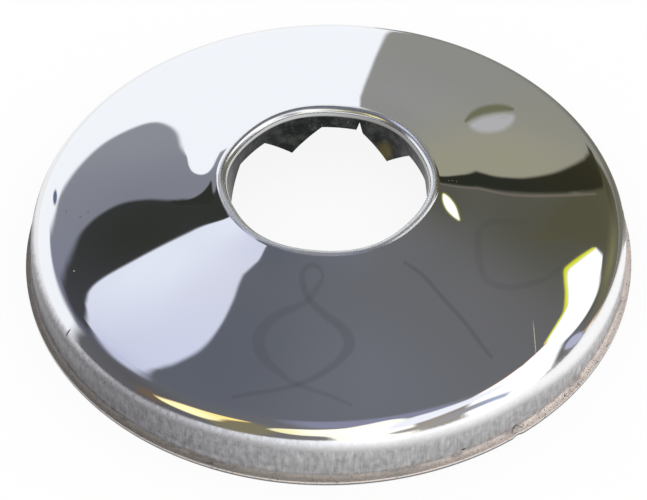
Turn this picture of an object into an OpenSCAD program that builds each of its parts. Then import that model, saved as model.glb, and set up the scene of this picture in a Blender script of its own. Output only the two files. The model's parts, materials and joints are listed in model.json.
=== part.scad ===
// Shower arm flange: the cover that hides the hole where a shower arm leaves the wall.
// One disc of sheet metal, drawn into a shallow dome with a rounded shoulder and an upright
// skirt. The face steepens again in a shallow hollow neck round the hole, rolls over in a small
// lip, and turns down inside the hole as a collar that ends in a ring of pointed teeth.
// The frame's origin is the centre of the rim, on the wall. +Z points away from the wall.

/* [Sheet] */
// Thickness of the sheet metal
sheet = 0.5; // [0.3:0.05:0.6]
// Overall height, from the wall to the top of the lip
flange_h = 10.65; // [9.5:0.05:16]

/* [Rim and skirt] */
// Diameter over the rim
rim_d = 69.85; // [60:0.05:80]
// How far the trimmed rim turns out past the foot of the skirt
rim_proud = 0.6; // [0.5:0.05:1.5]
// Radius of the corner where the skirt turns out into the rim
rim_corner_r = 0.35; // [0.1:0.05:0.45]
// Lean of the skirt from upright, in degrees
skirt_lean = 5; // [0:0.5:8]
// Radius of the shoulder between the skirt and the face
shoulder_r = 3.4; // [1.5:0.1:4.5]

/* [Face] */
// Slope of the face at the shoulder, in degrees
face_slope = 15; // [13:0.25:17]
// Slope of the face where the neck begins, in degrees
neck_foot_slope = 8.75; // [7:0.25:10]
// Slope of the neck at the foot of the lip, in degrees
neck_top_slope = 12.5; // [11:0.25:16]
// Radius of the hollow neck
neck_r = 70; // [40:1:100]

/* [Hole] */
// Diameter of the hole that the shower arm passes through
bore_d = 22.6; // [21.8:0.1:27]
// Radius of the rolled lip
lip_r = 0.7; // [0.7:0.05:1.4]
// Slope at which the lip's roll ends, in degrees
lip_slope = 28; // [20:1:40]
// Radius of the small hollow between the lip and the neck
lip_foot_r = 0.6; // [0.4:0.05:1.2]
// Depth of the collar's unbroken ring, below the top of the lip
collar_depth = 2.75; // [2:0.05:3.5]

/* [Teeth] */
// Number of teeth round the collar
tooth_count = 6; // [3:1:8]
// Width of a tooth where it leaves the collar
tooth_w = 7.2; // [3:0.1:8]
// Length of a tooth, from the collar's edge to its tip
tooth_l = 3.35; // [1.5:0.05:4.5]
// Lean of the teeth towards the arm, in degrees
tooth_lean = 2; // [1:0.5:4]
// Turn of the first tooth from the +Y axis, clockwise seen from above, in degrees
tooth_turn = 38.5; // [0:0.5:60]
// Width of the torn notch at the root of the first tooth
tear_w = 0.75; // [0.3:0.05:1.2]
// Height of the torn notch above the collar's edge
tear_h = 1.3; // [0.5:0.05:1.6]

/* [Hidden] */

// Steps round the whole flange, and along each bend of its section
round_steps = 240;
lip_steps = 8;
lip_foot_steps = 3;
neck_steps = 4;
face_steps = 6;
shoulder_steps = 9;
rim_corner_steps = 4;
// How far a cutting shape runs past what it cuts
overcut = 1;

bore_r = bore_d / 2;
rim_r = rim_d / 2;
edge_z = flange_h - collar_depth;
tip_z = edge_z - tooth_l;

// Centres of the bends, as [radius, height]. Each bend leaves the one before it along the same
// slope, so a centre lies on the line through the joint and the centre before it.
lip_c = [bore_r + lip_r, flange_h - lip_r];
lip_foot_c = lip_c + (lip_r + lip_foot_r) * slope_normal(lip_slope);
neck_c = lip_foot_c + (neck_r - lip_foot_r) * slope_normal(neck_top_slope);
neck_foot = neck_c - neck_r * slope_normal(neck_foot_slope);

// The face is a long arc, so a straight line between its ends slopes by the mean of its two
// end slopes. That line and the leaning skirt fix the centre of the shoulder.
face_fall = tan((face_slope + neck_foot_slope) / 2);
skirt_foot_r = rim_r - rim_proud;
shoulder_fall_z = neck_foot[1] + neck_foot[0] * face_fall
    - shoulder_r * (sin(face_slope) * face_fall + cos(face_slope));
shoulder_cr = (skirt_foot_r - shoulder_r / cos(skirt_lean) - shoulder_fall_z * tan(skirt_lean))
    / (1 - face_fall * tan(skirt_lean));
shoulder_c = [shoulder_cr, shoulder_fall_z - shoulder_cr * face_fall];
face_foot = shoulder_c + shoulder_r * slope_normal(face_slope);
face_r = (face_foot[0] - neck_foot[0]) / (sin(face_slope) - sin(neck_foot_slope));
face_c = neck_foot - face_r * slope_normal(neck_foot_slope);

rim_corner_z = sheet + rim_corner_r;
rim_corner_c = [
    skirt_foot_r - rim_corner_z * tan(skirt_lean) + rim_corner_r / cos(skirt_lean),
    rim_corner_z
];

// Direction straight out of a surface that falls away from the axis by this slope
function slope_normal(slope) = [sin(slope), cos(slope)];

// Points along a bend, from one direction to another as seen from its centre
function bend(centre, radius, from, to, steps) = [
    for (i = [0:steps])
        let (a = from + (to - from) * i / steps)
            centre + radius * [cos(a), sin(a)]
];

// One side of the sheet, from the tips of the teeth over the lip and out to the rim.
// depth is 0 on the polished side and the sheet's thickness on the other.
function sheet_side(depth) = concat(
    [[bore_r + depth - tooth_l * tan(tooth_lean), tip_z], [bore_r + depth, edge_z]],
    bend(lip_c, lip_r - depth, 180, 90 - lip_slope, lip_steps),
    bend(lip_foot_c, lip_foot_r + depth, 270 - lip_slope, 270 - neck_top_slope, lip_foot_steps),
    bend(neck_c, neck_r + depth, 270 - neck_top_slope, 270 - neck_foot_slope, neck_steps),
    bend(face_c, face_r - depth, 90 - neck_foot_slope, 90 - face_slope, face_steps),
    bend(shoulder_c, shoulder_r - depth, 90 - face_slope, skirt_lean, shoulder_steps),
    bend(rim_corner_c, rim_corner_r + depth, 180 + skirt_lean, 270, rim_corner_steps),
    [[rim_r, sheet - depth]]
);

function reversed(points) = [for (i = [len(points) - 1:-1:0]) points[i]];

// The drawn sheet, with the collar still unbroken down to the tips of the teeth
module drawn_sheet() {
    rotate_extrude($fn = round_steps)
        polygon(concat(sheet_side(0), reversed(sheet_side(sheet))));
}

// Outline of one tooth, with its root on the collar's edge and its tip pointing down
module tooth_outline() {
    polygon([
        [-tooth_w / 2, overcut],
        [-tooth_w / 2, 0],
        [0, -tooth_l],
        [tooth_w / 2, 0],
        [tooth_w / 2, overcut]
    ]);
}

// Stands an outline upright at the collar's edge and runs it outwards along +Y
module through_collar() {
    translate([0, bore_r + sheet + overcut, edge_z])
        rotate([90, 0, 0])
            linear_extrude(height = bore_r + sheet + overcut)
                children();
}

module each_tooth() {
    for (i = [0:tooth_count - 1])
        rotate([0, 0, -tooth_turn - i * 360 / tooth_count])
            children();
}

// All that is cut away below the collar's edge, which leaves the teeth standing
module tooth_gaps() {
    difference() {
        translate([0, 0, tip_z - overcut])
            cylinder(r = bore_r + sheet + overcut / 2, h = tooth_l + overcut, $fn = round_steps);
        each_tooth()
            through_collar()
                tooth_outline();
    }
}

// The notch torn into the collar beside the root of the first tooth
module torn_notch() {
    tooth_half_angle = asin(tooth_w / 2 / bore_r);
    rotate([0, 0, tooth_half_angle - tooth_turn])
        through_collar()
            polygon([[-tear_w / 2, -overcut / 2], [0, tear_h], [tear_w / 2, -overcut / 2]]);
}

module flange() {
    color("silver")
        difference() {
            drawn_sheet();
            tooth_gaps();
            torn_notch();
        }
}

flange();
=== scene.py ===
# %% [markdown]
# A shower arm flange is the round cover that hides the hole where a shower arm leaves the wall.
# It is one disc of thin steel, pierced, drawn in a press and chrome plated. All its life is in
# what the plating mirrors, so two things matter here: a surface whose slope is right everywhere,
# and a studio that gives the mirror something to show.
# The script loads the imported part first. Its box and its hole set the main sizes of what follows.
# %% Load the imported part
import json
from math import cos, hypot, pi, radians, sin

import bmesh
import bpy
from mathutils import Matrix, Vector
from mathutils.bvhtree import BVHTree
from mathutils.geometry import tessellate_polygon
from mathutils.interpolate import poly_3d_calc


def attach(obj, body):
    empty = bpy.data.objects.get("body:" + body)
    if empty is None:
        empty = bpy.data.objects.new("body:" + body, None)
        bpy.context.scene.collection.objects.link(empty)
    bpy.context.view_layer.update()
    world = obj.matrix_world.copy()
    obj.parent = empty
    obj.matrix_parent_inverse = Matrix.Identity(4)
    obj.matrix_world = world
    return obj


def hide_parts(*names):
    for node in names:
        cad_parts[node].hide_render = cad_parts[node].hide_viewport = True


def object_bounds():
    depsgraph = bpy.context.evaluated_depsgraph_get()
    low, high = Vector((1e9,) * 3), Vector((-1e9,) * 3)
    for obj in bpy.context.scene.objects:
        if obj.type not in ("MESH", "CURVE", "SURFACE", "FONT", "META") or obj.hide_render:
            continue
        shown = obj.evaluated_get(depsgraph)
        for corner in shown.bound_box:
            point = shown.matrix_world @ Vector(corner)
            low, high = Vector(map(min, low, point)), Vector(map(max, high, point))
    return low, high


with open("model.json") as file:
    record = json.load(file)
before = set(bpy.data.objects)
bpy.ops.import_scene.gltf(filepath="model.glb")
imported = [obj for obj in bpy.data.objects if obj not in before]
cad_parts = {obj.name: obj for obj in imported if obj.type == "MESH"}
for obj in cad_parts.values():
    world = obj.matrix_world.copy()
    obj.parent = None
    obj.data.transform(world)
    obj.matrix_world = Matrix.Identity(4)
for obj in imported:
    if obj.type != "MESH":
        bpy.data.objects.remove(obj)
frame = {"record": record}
cad_low, cad_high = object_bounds()
MM = 0.001
bore_mount = next(m for m in frame["record"]["mounts"] if m["name"] == "pipe_bore")
bore_r = bore_mount["dims"]["r_mm"] * MM
rim_r = (cad_high.x - cad_low.x) / 2
flange_h = cad_high.z
print(f"rim radius {rim_r / MM:.3f} mm, hole radius {bore_r / MM:.2f} mm, height {flange_h / MM:.2f} mm")


# %% [markdown]
# Geometry trees and shader trees are both sums on sockets. Blender has a Math node for each
# sum, and wiring dozens of them by hand hides what is being worked out. A small class that
# stands for one socket, with Python's operators, lets a sum be written as a sum: each
# operator adds the Math node it needs. The reflected forms make 1 - mask work as well.
# %% Sums on sockets
class Wire:
    """One output socket of a tree, which can be used in a sum."""

    def __init__(self, tree, socket):
        self.tree, self.socket = tree, socket

    def __add__(self, other):
        return self.tree.math("ADD", self, other)

    def __radd__(self, other):
        return self.tree.math("ADD", other, self)

    def __sub__(self, other):
        return self.tree.math("SUBTRACT", self, other)

    def __rsub__(self, other):
        return self.tree.math("SUBTRACT", other, self)

    def __mul__(self, other):
        return self.tree.math("MULTIPLY", self, other)

    def __rmul__(self, other):
        return self.tree.math("MULTIPLY", other, self)

    def __truediv__(self, other):
        return self.tree.math("DIVIDE", self, other)

    def __rtruediv__(self, other):
        return self.tree.math("DIVIDE", other, self)

    def __lt__(self, other):
        return self.tree.math("LESS_THAN", self, other)

    def __gt__(self, other):
        return self.tree.math("GREATER_THAN", self, other)


# %% [markdown]
# Every other node comes from one method. It takes the node's type, then its settings, which
# have to be in place before the sockets exist, and last the values or wires of its sockets.
# The short methods under it name the few nodes that both kinds of tree use again and again.
# %% One way to add any other node
class Tree:
    """A node tree, shader or geometry, and the one method that adds a node to it."""

    def __init__(self, node_tree):
        self.node_tree = node_tree

    def node(self, kind, settings=(), sockets=()):
        """Adds one node. A socket is named or numbered, and its value is a wire or a number."""
        made = self.node_tree.nodes.new(kind)
        for name, value in dict(settings).items():
            setattr(made, name, value)
        for name, value in dict(sockets).items():
            if isinstance(value, Wire):
                self.node_tree.links.new(value.socket, made.inputs[name])
            else:
                made.inputs[name].default_value = value
        return made

    def wire(self, kind, settings=(), sockets=(), out=0):
        """Adds one node and returns one of its outputs."""
        return Wire(self, self.node(kind, settings, sockets).outputs[out])

    def math(self, operation, *values):
        return self.wire("ShaderNodeMath", {"operation": operation}, enumerate(values))

    def sine(self, angle):
        return self.math("SINE", angle)

    def cosine(self, angle):
        return self.math("COSINE", angle)

    def tangent(self, angle):
        return self.math("TANGENT", angle)

    def larger(self, value_a, value_b):
        return self.math("MAXIMUM", value_a, value_b)

    def point(self, x, y, z):
        return self.wire("ShaderNodeCombineXYZ", (), {"X": x, "Y": y, "Z": z})

    def parts(self, vector):
        """The three numbers of a vector."""
        split = self.node("ShaderNodeSeparateXYZ", (), {0: vector})
        return [Wire(self, split.outputs[axis]) for axis in "XYZ"]

    def smooth(self, value, low, high):
        """0 below low, 1 above high, and an even turn between them."""
        return self.wire("ShaderNodeMapRange", {"interpolation_type": "SMOOTHSTEP"},
                         {0: value, 1: low, 2: high, 3: 0.0, 4: 1.0})

    def blend(self, share, colour_a, colour_b):
        """A colour between two others."""
        return self.wire("ShaderNodeMix", {"data_type": "RGBA"}, {0: share, 6: colour_a, 7: colour_b}, out=2)

    def noise(self, vector, size, detail=2.0):
        """Noise from 0 to 1 whose blobs are about this size."""
        return self.wire("ShaderNodeTexNoise", (), {"Vector": vector, "Scale": 1 / size, "Detail": detail})


def new_material(name):
    """An empty material and its tree."""
    made = bpy.data.materials.new(name)
    made.use_nodes = True
    made.node_tree.nodes.clear()
    return made, Tree(made.node_tree)


# %% [markdown]
# The sheet's section is a chain of round bends: the rolled lip at the hole, the hollow neck,
# the long flat arc of the face, the shoulder, and the small corner where the skirt turns out
# into the trimmed rim. Each bend leaves the one before it along the same slope, so the mirror
# shows no crease. It could be a table of points, but then no size could be changed by itself.
# Named sizes and tangent arcs keep the section one rule. The last few sizes are the marks of
# a cheap pressing: six faint lobes of the lip above the teeth, a lip that sags at one side, and
# a chipped rim.
# %% Sizes of the section
sizes = {
    "Sheet": 0.5 * MM,
    "Height": flange_h,
    "Rim radius": rim_r,
    "Rim turned out": 0.6 * MM,
    "Rim corner": 0.35 * MM,
    "Skirt lean": radians(5),
    "Shoulder radius": 3.4 * MM,
    "Face slope": radians(15),
    "Neck foot slope": radians(8.75),
    "Neck top slope": radians(12.5),
    "Neck radius": 70 * MM,
    "Bore radius": bore_r,
    "Lip radius": 0.7 * MM,
    "Lip slope": radians(28),
    "Lip foot radius": 0.6 * MM,
    "Collar depth": 2.75 * MM,
    "Teeth": 6.0,
    "Tooth width": 7.2 * MM,
    "Tooth length": 3.35 * MM,
    "Tooth lean": radians(2),
    "First tooth": radians(38.5),
    "Tear width": 0.75 * MM,
    "Tear height": 1.3 * MM,
    "Lobes of the lip": 0.1 * MM,
    "Sag of the lip": 0.12 * MM,
    "Sag turn": radians(282),
    "Chip depth": 0.15 * MM,
    "Chip turn": radians(145.8),
}
COLUMNS = 720
print(f"the sheet follows {len(sizes)} sizes")


# %% [markdown]
# Two arcs that touch share the line through their centres. So the centre of each bend is found
# by going from the one before it along the slope at their joint, by the sum or the difference
# of the two radii. The same sums stand in the part's own source, in another language.
# %% Centres of the bends
def tangent_chain(tree, s):
    """Centres of the six bends, as (radius, height), and the face's own radius."""
    lip = (s["Bore radius"] + s["Lip radius"], s["Height"] - s["Lip radius"])
    reach = s["Lip radius"] + s["Lip foot radius"]
    lip_sine, lip_cosine = tree.sine(s["Lip slope"]), tree.cosine(s["Lip slope"])
    lip_foot = (lip[0] + reach * lip_sine, lip[1] + reach * lip_cosine)
    reach = s["Neck radius"] - s["Lip foot radius"]
    top_sine, top_cosine = tree.sine(s["Neck top slope"]), tree.cosine(s["Neck top slope"])
    neck = (lip_foot[0] + reach * top_sine, lip_foot[1] + reach * top_cosine)
    foot_sine, foot_cosine = tree.sine(s["Neck foot slope"]), tree.cosine(s["Neck foot slope"])
    neck_foot = (neck[0] - s["Neck radius"] * foot_sine, neck[1] - s["Neck radius"] * foot_cosine)

    fall = tree.tangent((s["Face slope"] + s["Neck foot slope"]) * 0.5)
    lean, lean_cosine = tree.tangent(s["Skirt lean"]), tree.cosine(s["Skirt lean"])
    face_sine, face_cosine = tree.sine(s["Face slope"]), tree.cosine(s["Face slope"])
    skirt_foot = s["Rim radius"] - s["Rim turned out"]
    fall_z = neck_foot[1] + neck_foot[0] * fall - s["Shoulder radius"] * (face_sine * fall + face_cosine)
    shoulder_r = (skirt_foot - s["Shoulder radius"] / lean_cosine - fall_z * lean) / (1 - fall * lean)
    shoulder = (shoulder_r, fall_z - shoulder_r * fall)

    face_foot_r = shoulder_r + s["Shoulder radius"] * face_sine
    face_radius = (face_foot_r - neck_foot[0]) / (face_sine - foot_sine)
    face = (neck_foot[0] - face_radius * foot_sine, neck_foot[1] - face_radius * foot_cosine)
    corner_z = s["Sheet"] + s["Rim corner"]
    corner = (skirt_foot - corner_z * lean + s["Rim corner"] / lean_cosine, corner_z)
    return lip, lip_foot, neck, face, shoulder, corner, face_radius


# %% [markdown]
# A geometry tree has curves for these pieces: an arc for a bend and a line for a straight. Each
# is made where it belongs, and Curve to Points turns the row of curves into one row of points,
# from the collar's edge to the rim. The back of the sheet is the same row with every radius
# longer or shorter by the sheet's thickness, so the wall is equally thick all the way.
# %% The curves of the section
def bend(tree, centre, radius, start, end, steps):
    """One round bend of the section, from one direction to another as seen from its centre."""
    arc = tree.wire("GeometryNodeCurveArc", {"mode": "RADIUS"},
                    {"Resolution": steps + 1, "Radius": radius, "Start Angle": start,
                     "Sweep Angle": end - start})
    return tree.wire("GeometryNodeTransform", (),
                     {"Geometry": arc, "Translation": tree.point(centre[0], centre[1], 0.0)})


def straight(tree, start, end, points):
    """A straight stretch of the section."""
    line = tree.wire("GeometryNodeCurvePrimitiveLine", (),
                     {"Start": tree.point(start[0], start[1], 0.0), "End": tree.point(end[0], end[1], 0.0)})
    return tree.wire("GeometryNodeResampleCurve", {"mode": "COUNT"}, {"Curve": line, "Count": points})


def in_order(tree, curves):
    """The points of several curves, one curve after another."""
    joined = tree.node("GeometryNodeJoinGeometry")
    for curve in reversed(curves):
        tree.node_tree.links.new(curve.socket, joined.inputs[0])
    return tree.wire("GeometryNodeCurveToPoints", {"mode": "EVALUATED"}, {0: Wire(tree, joined.outputs[0])})


def sheet_side(tree, s, chain, depth, steps):
    """One side of the sheet from the collar's edge to the rim, depth below the polished side."""
    lip, lip_foot, neck, face, shoulder, corner, face_radius = chain
    quarter, half, full = radians(90), radians(180), radians(270)
    roll, top, foot = s["Lip slope"], s["Neck top slope"], s["Neck foot slope"]
    slope, lean = s["Face slope"], s["Skirt lean"]
    collar_r = s["Bore radius"] + depth
    edge_z = s["Height"] - s["Collar depth"]
    rim_z = s["Sheet"] - depth
    return [
        straight(tree, (collar_r, edge_z), (collar_r, lip[1]), steps["collar"]),
        bend(tree, lip, s["Lip radius"] - depth, half, quarter - roll, steps["lip"]),
        bend(tree, lip_foot, s["Lip foot radius"] + depth, full - roll, full - top, steps["lip foot"]),
        bend(tree, neck, s["Neck radius"] + depth, full - top, full - foot, steps["neck"]),
        bend(tree, face, face_radius - depth, quarter - foot, quarter - slope, steps["face"]),
        bend(tree, shoulder, s["Shoulder radius"] - depth, quarter - slope, lean, steps["shoulder"]),
        bend(tree, corner, s["Rim corner"] + depth, half + lean, full, steps["corner"]),
        straight(tree, (corner[0], rim_z), (s["Rim radius"], rim_z), 2),
    ]


# %% [markdown]
# The teeth that bite the arm are the part that takes the most skill. In the press they are
# left standing when the hole is pierced, as a six-pointed star, and turned down with the
# collar. Cutting them from the mesh with booleans would break the even columns of the collar.
# Here the collar's edge is a height that depends on the angle alone, and the columns are close
# enough to carry its corners, so each tooth keeps its full thickness and stays part of the sheet.
# %% Height of the collar's cut edge
def from_first_tooth(tree, s, turn):
    """Angle from the nearest tooth's middle, whichever tooth that is."""
    pitch = (2 * pi) / s["Teeth"]
    return tree.math("PINGPONG", turn - s["First tooth"] + 4 * pi, pitch * 0.5)


def cut_height(tree, s, turn):
    """Height of the collar's edge: teeth hang below it, and the torn notch rises above it."""
    edge_z = s["Height"] - s["Collar depth"]
    half_width = s["Tooth width"] * 0.5
    tooth_x = s["Bore radius"] * tree.sine(from_first_tooth(tree, s, turn))
    tooth_fall = tree.larger(1 - tooth_x / half_width, 0.0) * s["Tooth length"]
    root_turn = turn - s["First tooth"] + tree.math("ARCSINE", half_width / s["Bore radius"])
    tear_x = s["Bore radius"] * tree.math("ABSOLUTE", tree.sine(root_turn))
    on_this_side = tree.cosine(root_turn) > 0.0
    tear_rise = tree.larger(1 - tear_x / (s["Tear width"] * 0.5), 0.0) * s["Tear height"]
    return edge_z - tooth_fall + tear_rise * on_this_side


# %% [markdown]
# A real pressing isn't perfectly round, and a mirror shows it. Left of the hole the neck rises
# less, so the lip sits a tenth of a millimetre lower there, and the reflections bend away from
# it. At the rim a small chip is pushed in. Both could be bump in the material, but as true
# forms they also show in the exported mesh, from every side. Each fades out between two radii
# and between two angles.
# %% The sagging lip and the chipped rim
SAG_FADES = (11.6 * MM, 16.6 * MM)
SAG_HALF_TURN = (radians(14), radians(44))
CHIP_REACH = 0.5 * MM
CHIP_HALF_TURN = (radians(0.3), radians(1.1))
for name in ("Lobes of the lip", "Sag of the lip", "Chip depth"):
    print(f"{name}: {sizes[name] / MM:.2f} mm")


def turned_from(tree, turn, middle):
    """Angle from a direction, 0 there and growing to both sides."""
    return tree.math("PINGPONG", turn - middle + 2 * pi, pi)


def sag(tree, s, turn, radius):
    """How far the neck and the lip hang lower at one side."""
    across = 1 - tree.smooth(turned_from(tree, turn, s["Sag turn"]), *SAG_HALF_TURN)
    return s["Sag of the lip"] * across * (1 - tree.smooth(radius, *SAG_FADES))


def chip(tree, s, turn, radius):
    """How far the rim is pushed in where it is chipped."""
    across = 1 - tree.smooth(turned_from(tree, turn, s["Chip turn"]), *CHIP_HALF_TURN)
    return s["Chip depth"] * across * tree.smooth(radius, s["Rim radius"] - CHIP_REACH, s["Rim radius"])


# %% [markdown]
# On the real flange a press does the work in strokes: pierce, draw, turn the lip, trim. In
# Blender the same order is a geometry tree. A grid is bent round the axis so that each of its
# rows follows one point of the section, and then the collar's lower rows are pulled up or down
# to the cut edge. Spinning a finished profile would be shorter, but it could give the collar no
# teeth and the lip no sag. The tree marks the back of the sheet in an attribute, for its
# duller finish, and the sharp cut edges in another, so that they are shaded as edges.
# %% The section's points, and where each point of the grid goes
POLISHED_STEPS = {"collar": 5, "lip": 14, "lip foot": 5, "neck": 20, "face": 14, "shoulder": 18, "corner": 6}
HIDDEN_STEPS = {"collar": 4, "lip": 6, "lip foot": 3, "neck": 3, "face": 5, "shoulder": 8, "corner": 5}
LOBES_FADE = (12.5 * MM, 15.0 * MM)
JUST_OVER = 1.01
print(f"steps along the bends: {sum(POLISHED_STEPS.values())} in front, {sum(HIDDEN_STEPS.values())} behind")


def section_points(tree, s):
    """Both sides of the section as rows of points, and how many rows each has."""
    chain = tangent_chain(tree, s)
    polished = in_order(tree, sheet_side(tree, s, chain, 0.0, POLISHED_STEPS))
    hidden = in_order(tree, sheet_side(tree, s, chain, s["Sheet"], HIDDEN_STEPS))
    counts = [tree.wire("GeometryNodeAttributeDomainSize", {"component": "POINTCLOUD"}, {"Geometry": points})
              for points in (polished, hidden)]
    return (polished, hidden), counts


def sample_section(tree, points, row):
    """Radius and height of one point of the section."""
    position = tree.wire("GeometryNodeInputPosition")
    found = tree.wire("GeometryNodeSampleIndex",
                      {"data_type": "FLOAT_VECTOR", "domain": "POINT", "clamp": True},
                      {"Geometry": points, "Value": position, "Index": row})
    return tree.parts(found)[:2]


def pressed_place(tree, s, turn, radius, height):
    """Where a point of the round sheet lies once the collar is cut and the marks are in."""
    collar_top = s["Height"] - s["Lip radius"]
    edge_z = s["Height"] - s["Collar depth"]
    in_collar = (radius < s["Bore radius"] + s["Sheet"] * JUST_OVER) * (height < collar_top)
    share = (collar_top - height) / (collar_top - edge_z)
    cut = collar_top - share * (collar_top - cut_height(tree, s, turn))
    new_height = height + (cut - height) * in_collar
    below_edge = tree.larger(edge_z - new_height, 0.0) * in_collar
    near_lip = 1 - tree.smooth(radius, *LOBES_FADE)
    lobes = s["Lobes of the lip"] * tree.cosine(from_first_tooth(tree, s, turn) * s["Teeth"])
    new_radius = radius - below_edge * tree.tangent(s["Tooth lean"]) + lobes * near_lip
    new_radius = new_radius - chip(tree, s, turn, radius)
    new_height = new_height - sag(tree, s, turn, radius)
    return tree.point(new_radius * tree.sine(turn), new_radius * tree.cosine(turn), new_height)


# %% [markdown]
# The grid has one row for each point of both sides, and one more that closes the section on
# itself. Merge by Distance then joins that seam and the seam where the turn ends, so that the
# sheet is one closed skin with a true thickness.
# %% The whole sheet, bent round the axis
SHARP_EDGE = radians(35)
SEAM_GAP = 0.002 * MM


def flange_tree():
    """The geometry tree that presses the flange, with every size as an input."""
    group = bpy.data.node_groups.new("pressed_flange", "GeometryNodeTree")
    group.interface.new_socket("Geometry", in_out="OUTPUT", socket_type="NodeSocketGeometry")
    for name in sizes:
        group.interface.new_socket(name, in_out="INPUT", socket_type="NodeSocketFloat")
    group.interface.new_socket("Columns", in_out="INPUT", socket_type="NodeSocketInt")
    group.interface.new_socket("Plating", in_out="INPUT", socket_type="NodeSocketMaterial")
    tree = Tree(group)
    given = tree.node("NodeGroupInput")
    s = {name: Wire(tree, given.outputs[name]) for name in sizes}
    columns = Wire(tree, given.outputs["Columns"])
    (polished, hidden), (polished_rows, hidden_rows) = section_points(tree, s)
    rows = polished_rows + hidden_rows

    grid = tree.wire("GeometryNodeMeshGrid", (), {"Vertices X": columns + 1, "Vertices Y": rows + 1})
    index = tree.wire("GeometryNodeInputIndex")
    column = tree.math("FLOOR", (index + 0.5) / (rows + 1))
    row = index - column * (rows + 1)
    row = row * (row < rows - 0.5)
    on_hidden = row > polished_rows - 0.5
    top = sample_section(tree, polished, row)
    back = sample_section(tree, hidden, polished_rows + hidden_rows - 1 - row)
    radius, height = [a * (1 - on_hidden) + b * on_hidden for a, b in zip(top, back)]
    place = pressed_place(tree, s, column * (2 * pi) / columns, radius, height)

    bent = tree.wire("GeometryNodeSetPosition", (), {"Geometry": grid, "Position": place})
    marked = tree.wire("GeometryNodeStoreNamedAttribute", {"data_type": "FLOAT", "domain": "POINT"},
                       {"Geometry": bent, "Name": "hidden_side", "Value": on_hidden})
    closed = tree.wire("GeometryNodeMergeByDistance", (), {"Geometry": marked, "Distance": SEAM_GAP})
    crease = tree.wire("GeometryNodeInputMeshEdgeAngle") > SHARP_EDGE
    creased = tree.wire("GeometryNodeStoreNamedAttribute", {"data_type": "BOOLEAN", "domain": "EDGE"},
                        {"Geometry": closed, "Name": "sharp_edge", "Value": crease})
    real = tree.wire("GeometryNodeRealizeInstances", (), {"Geometry": creased})
    plated = tree.wire("GeometryNodeSetMaterial", (),
                       {"Geometry": real, "Material": Wire(tree, given.outputs["Plating"])})
    tree.node("NodeGroupOutput", (), {0: plated})
    return group


# %% [markdown]
# A modifier's inputs are set by the socket's identifier. Once the tree has run, the result is
# taken as a plain mesh and the modifier goes, so that nothing is left to be worked out again.
# %% Press the sheet
def press_sheet(plating):
    """The pressed and plated sheet as a plain mesh."""
    group = flange_tree()
    print(f"the press is a tree of {len(group.nodes)} nodes")
    blank = bpy.data.objects.new("blank", bpy.data.meshes.new("blank"))
    bpy.context.scene.collection.objects.link(blank)
    press = blank.modifiers.new("press", "NODES")
    press.node_group = group
    values = {**sizes, "Columns": COLUMNS, "Plating": plating}
    for socket in group.interface.items_tree:
        if socket.name in values:
            press[socket.identifier] = values[socket.name]
    bpy.context.view_layer.update()
    pressed = blank.evaluated_get(bpy.context.evaluated_depsgraph_get())
    mesh = bpy.data.meshes.new_from_object(pressed)
    blank.modifiers.remove(press)
    bpy.data.objects.remove(blank)
    mesh.name = "chromed_sheet"
    mesh.materials.clear()
    mesh.materials.append(plating)
    mesh.polygons.foreach_set("material_index", [0] * len(mesh.polygons))
    mesh.polygons.foreach_set("use_smooth", [True] * len(mesh.polygons))
    made = bpy.data.objects.new("chromed_sheet", mesh)
    bpy.context.scene.collection.objects.link(made)
    return made


# %% [markdown]
# Colours are easiest to judge as a picture shows them, from 0 to 255. Light adds up in another
# scale, so one function turns the first into the second for every colour that follows.
# %% Picture colours as light
def linear(colour):
    """A picture's colour, from 0 to 255, as the light that gives it."""
    shares = [c / 255 for c in colour]
    return [c / 12.92 if c <= 0.04045 else ((c + 0.055) / 1.055) ** 2.4 for c in shares]


def paint(red, green, blue):
    """The same with full cover, for a colour socket."""
    return (*linear((red, green, blue)), 1.0)


print(f"a middle grey of 128 gives {linear((128, 128, 128))[0]:.3f} of white's light")


# %% [markdown]
# Only the top of the flange is buffed before plating. The wheel stops low on the shoulder, and
# from there down the skirt keeps the satin and then the dull, streaked skin that the drawing
# die leaves. Streaks run up and down, so their noise is stretched along the height. Light and
# shade are painted into the skirt's colour: the left side is painted darker and a little bluer,
# as painted shade, and the right side, the upper skirt and the fold at the bottom lighter, as
# painted light. All of it is one finish that changes with place, so it is one material: masks of
# height, side and noise, and no second piece. Places are millimetres here, and light is a share of white.
# %% Where the buffing stops, the streaks of the drawn skirt, and its painted light and shade
BUFFED_ABOVE = (5.05, 5.75)
STREAK_STRETCH = 0.12
LEFT_SHADE_FADE = (-29.0, 9.0)
print(f"buffed above {BUFFED_ABOVE[1]} mm, streaks {1 / STREAK_STRETCH:.0f} times as long as wide")


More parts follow.
